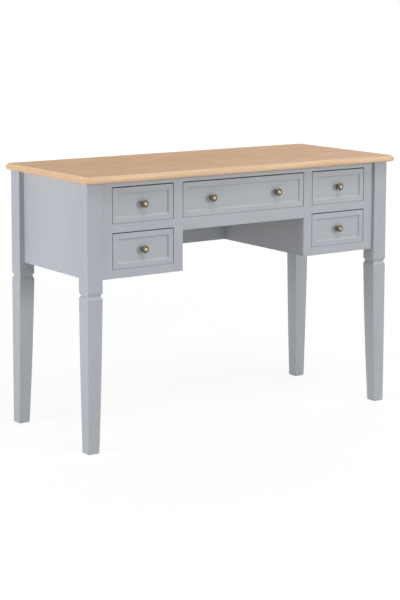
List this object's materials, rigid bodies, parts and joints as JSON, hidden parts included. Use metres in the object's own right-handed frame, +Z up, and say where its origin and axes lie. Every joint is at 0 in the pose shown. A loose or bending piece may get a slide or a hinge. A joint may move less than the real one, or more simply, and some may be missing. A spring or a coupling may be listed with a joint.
{
  "type": "writing desk",
  "caption": "Painted kneehole writing desk with an oak top, square legs notched under the case and tapered below, and panelled drawers with brass knobs that slide out.",
  "frame": {"origin": "on the floor, under the middle of the table top", "axes": "+X to the right of a person sitting at the desk, +Y from the front to the back, +Z up"},
  "size_m": [1.074, 0.457, 0.75],
  "materials": {
    "oak_top": "oak board, clear matt lacquer",
    "grey_paint": "wood painted a cool grey, eggshell",
    "drawer_wood": "pale wood, bare and sanded",
    "antique_brass": "aged brass, polished on the dome",
    "steel": "zinc-plated steel"
  },
  "bodies": {
    "case": {"table_top": "oak_top", "leg_front_left": "grey_paint", "leg_front_right": "grey_paint", "leg_back_left": "grey_paint", "leg_back_right": "grey_paint", "side_panel_left": "grey_paint", "side_panel_right": "grey_paint", "divider_left": "grey_paint", "divider_right": "grey_paint", "outer_stile_left": "grey_paint", "outer_stile_right": "grey_paint", "inner_stile_left": "grey_paint", "inner_stile_right": "grey_paint", "middle_rail_left": "grey_paint", "middle_rail_right": "grey_paint", "bottom_rail_left": "grey_paint", "bottom_rail_right": "grey_paint", "back_panel": "grey_paint", "top_rail": "grey_paint", "centre_rail": "grey_paint", "runners_left": "drawer_wood", "runners_right": "drawer_wood", "runners_centre": "drawer_wood", "top_cleats": "drawer_wood", "top_screws": "steel"},
    "upper_left_drawer": {"upper_left_drawer_front": "grey_paint", "upper_left_drawer_side_left": "drawer_wood", "upper_left_drawer_side_right": "drawer_wood", "upper_left_drawer_back": "drawer_wood", "upper_left_drawer_bottom": "drawer_wood", "upper_left_drawer_knob": "antique_brass", "upper_left_drawer_knob_screw": "steel"},
    "lower_left_drawer": {"lower_left_drawer_front": "grey_paint", "lower_left_drawer_side_left": "drawer_wood", "lower_left_drawer_side_right": "drawer_wood", "lower_left_drawer_back": "drawer_wood", "lower_left_drawer_bottom": "drawer_wood", "lower_left_drawer_knob": "antique_brass", "lower_left_drawer_knob_screw": "steel"},
    "centre_drawer": {"centre_drawer_front": "grey_paint", "centre_drawer_side_left": "drawer_wood", "centre_drawer_side_right": "drawer_wood", "centre_drawer_back": "drawer_wood", "centre_drawer_bottom": "drawer_wood", "centre_drawer_knob": "antique_brass", "centre_drawer_knob_screw": "steel"},
    "upper_right_drawer": {"upper_right_drawer_front": "grey_paint", "upper_right_drawer_side_left": "drawer_wood", "upper_right_drawer_side_right": "drawer_wood", "upper_right_drawer_back": "drawer_wood", "upper_right_drawer_bottom": "drawer_wood", "upper_right_drawer_knob": "antique_brass", "upper_right_drawer_knob_screw": "steel"},
    "lower_right_drawer": {"lower_right_drawer_front": "grey_paint", "lower_right_drawer_side_left": "drawer_wood", "lower_right_drawer_side_right": "drawer_wood", "lower_right_drawer_back": "drawer_wood", "lower_right_drawer_bottom": "drawer_wood", "lower_right_drawer_knob": "antique_brass", "lower_right_drawer_knob_screw": "steel"}
  },
  "joints": [
    {"name": "upper_left_drawer_slide", "type": "slide", "parent": "case", "child": "upper_left_drawer", "axis": [0, -1, 0], "range_m": [0, 0.27]},
    {"name": "lower_left_drawer_slide", "type": "slide", "parent": "case", "child": "lower_left_drawer", "axis": [0, -1, 0], "range_m": [0, 0.27]},
    {"name": "centre_drawer_slide", "type": "slide", "parent": "case", "child": "centre_drawer", "axis": [0, -1, 0], "range_m": [0, 0.27]},
    {"name": "upper_right_drawer_slide", "type": "slide", "parent": "case", "child": "upper_right_drawer", "axis": [0, -1, 0], "range_m": [0, 0.27]},
    {"name": "lower_right_drawer_slide", "type": "slide", "parent": "case", "child": "lower_right_drawer", "axis": [0, -1, 0], "range_m": [0, 0.27]}
  ]
}
